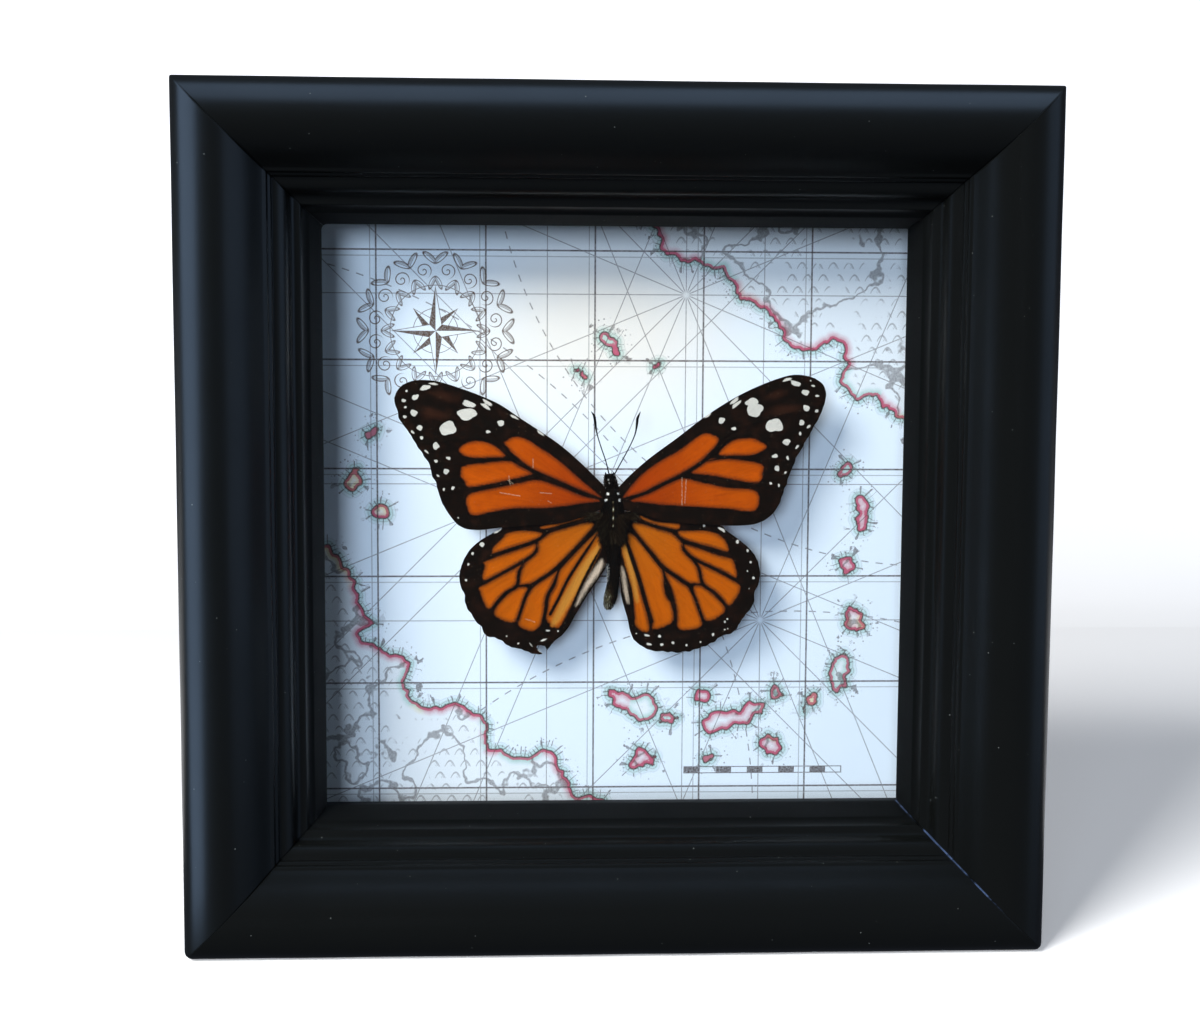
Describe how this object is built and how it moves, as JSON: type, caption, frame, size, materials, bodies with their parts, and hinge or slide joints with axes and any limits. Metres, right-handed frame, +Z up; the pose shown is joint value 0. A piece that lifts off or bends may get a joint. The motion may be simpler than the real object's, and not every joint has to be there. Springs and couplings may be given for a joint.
{
  "type": "framed butterfly specimen",
  "caption": "Square black shadow-box frame with stepped mitred moulding, holding a spread orange and black butterfly behind glass over a printed sea chart.",
  "frame": {"origin": "on the standing surface, under the middle of the frame", "axes": "+Z up the frame, +Y from the front to the back, +X to the right seen from the front"},
  "size_m": [0.174, 0.0478, 0.174],
  "materials": {
    "black_paint": "satin black paint over wood",
    "pane": "clear",
    "black_card": "matte",
    "chart_paper": "matte print",
    "board": "matte",
    "steel": "plain",
    "brassed_steel": "satin",
    "cork": "matte",
    "body_fur": "hairy",
    "wing_scales": "scaled, satin"
  },
  "bodies": {
    "root": {"bottom_rail": "black_paint", "right_rail": "black_paint", "top_rail": "black_paint", "left_rail": "black_paint", "retainer_tab_1": "steel", "retainer_tab_2": "steel", "retainer_tab_3": "steel", "retainer_tab_4": "steel", "retainer_tab_5": "steel", "retainer_tab_6": "steel", "retainer_tab_7": "steel", "retainer_tab_8": "steel", "glass_pane": "pane", "liner_top": "black_card", "liner_bottom": "black_card", "liner_left": "black_card", "liner_right": "black_card", "chart_sheet": "chart_paper", "backing_board": "board", "sawtooth_hanger": "brassed_steel", "hanger_nail_1": "brassed_steel", "hanger_nail_2": "brassed_steel", "mounting_block": "cork", "thorax": "body_fur", "head": "body_fur", "abdomen": "body_fur", "left_antenna": "body_fur", "right_antenna": "body_fur", "left_forewing": "wing_scales", "right_forewing": "wing_scales", "left_hindwing": "wing_scales", "right_hindwing": "wing_scales"}
  },
  "joints": []
}
